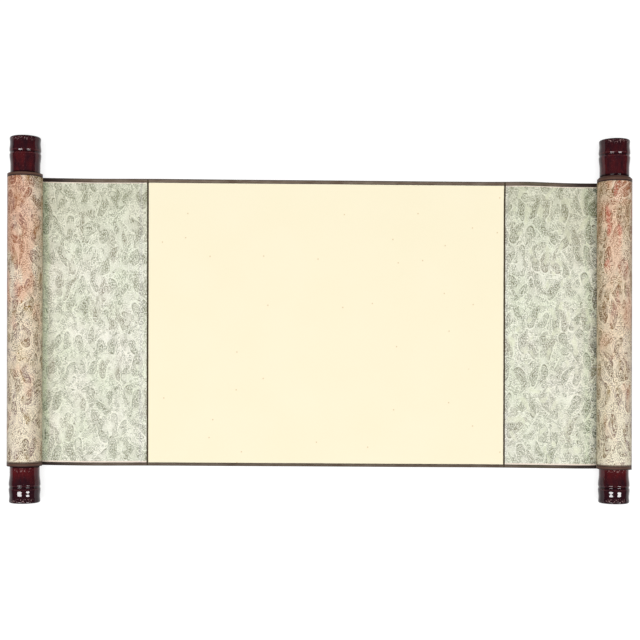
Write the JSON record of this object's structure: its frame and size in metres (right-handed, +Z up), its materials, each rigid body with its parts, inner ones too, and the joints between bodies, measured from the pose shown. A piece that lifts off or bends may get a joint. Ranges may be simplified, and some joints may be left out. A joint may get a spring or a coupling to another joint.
{
  "type": "paper handscroll",
  "caption": "Blank paper handscroll lying open, with brocade panels, a brocade back and both ends rolled on wooden rods with lacquered knobs.",
  "frame": {"origin": "on the table, under the middle of the whole scroll", "axes": "+X along the open sheet, +Y along the rods towards the upper edge of the sheet, +Z up from the table"},
  "size_m": [0.615, 0.3596, 0.0344],
  "materials": {
    "face_brocade": "mint green silk brocade with a silver-grey paisley, slight sheen",
    "back_brocade": "tan and cream silk brocade with salmon bands, slight sheen",
    "paper": "matt cream paper with a few tan fibres",
    "piping": "matt dark brown silk",
    "binding": "matt dark brown silk",
    "rod_wood": "plain sanded softwood",
    "knob_lacquer": "glossy dark maroon lacquer over turned wood"
  },
  "bodies": {
    "root": {"cover_brocade": "back_brocade", "paper_field": "paper", "left_piping": "piping", "right_piping": "piping", "left_brocade_panel": "face_brocade", "right_brocade_panel": "face_brocade", "upper_binding": "binding", "lower_binding": "binding", "left_rod": "rod_wood", "right_rod": "rod_wood", "left_upper_knob": "knob_lacquer", "left_lower_knob": "knob_lacquer", "right_upper_knob": "knob_lacquer", "right_lower_knob": "knob_lacquer"}
  },
  "joints": []
}
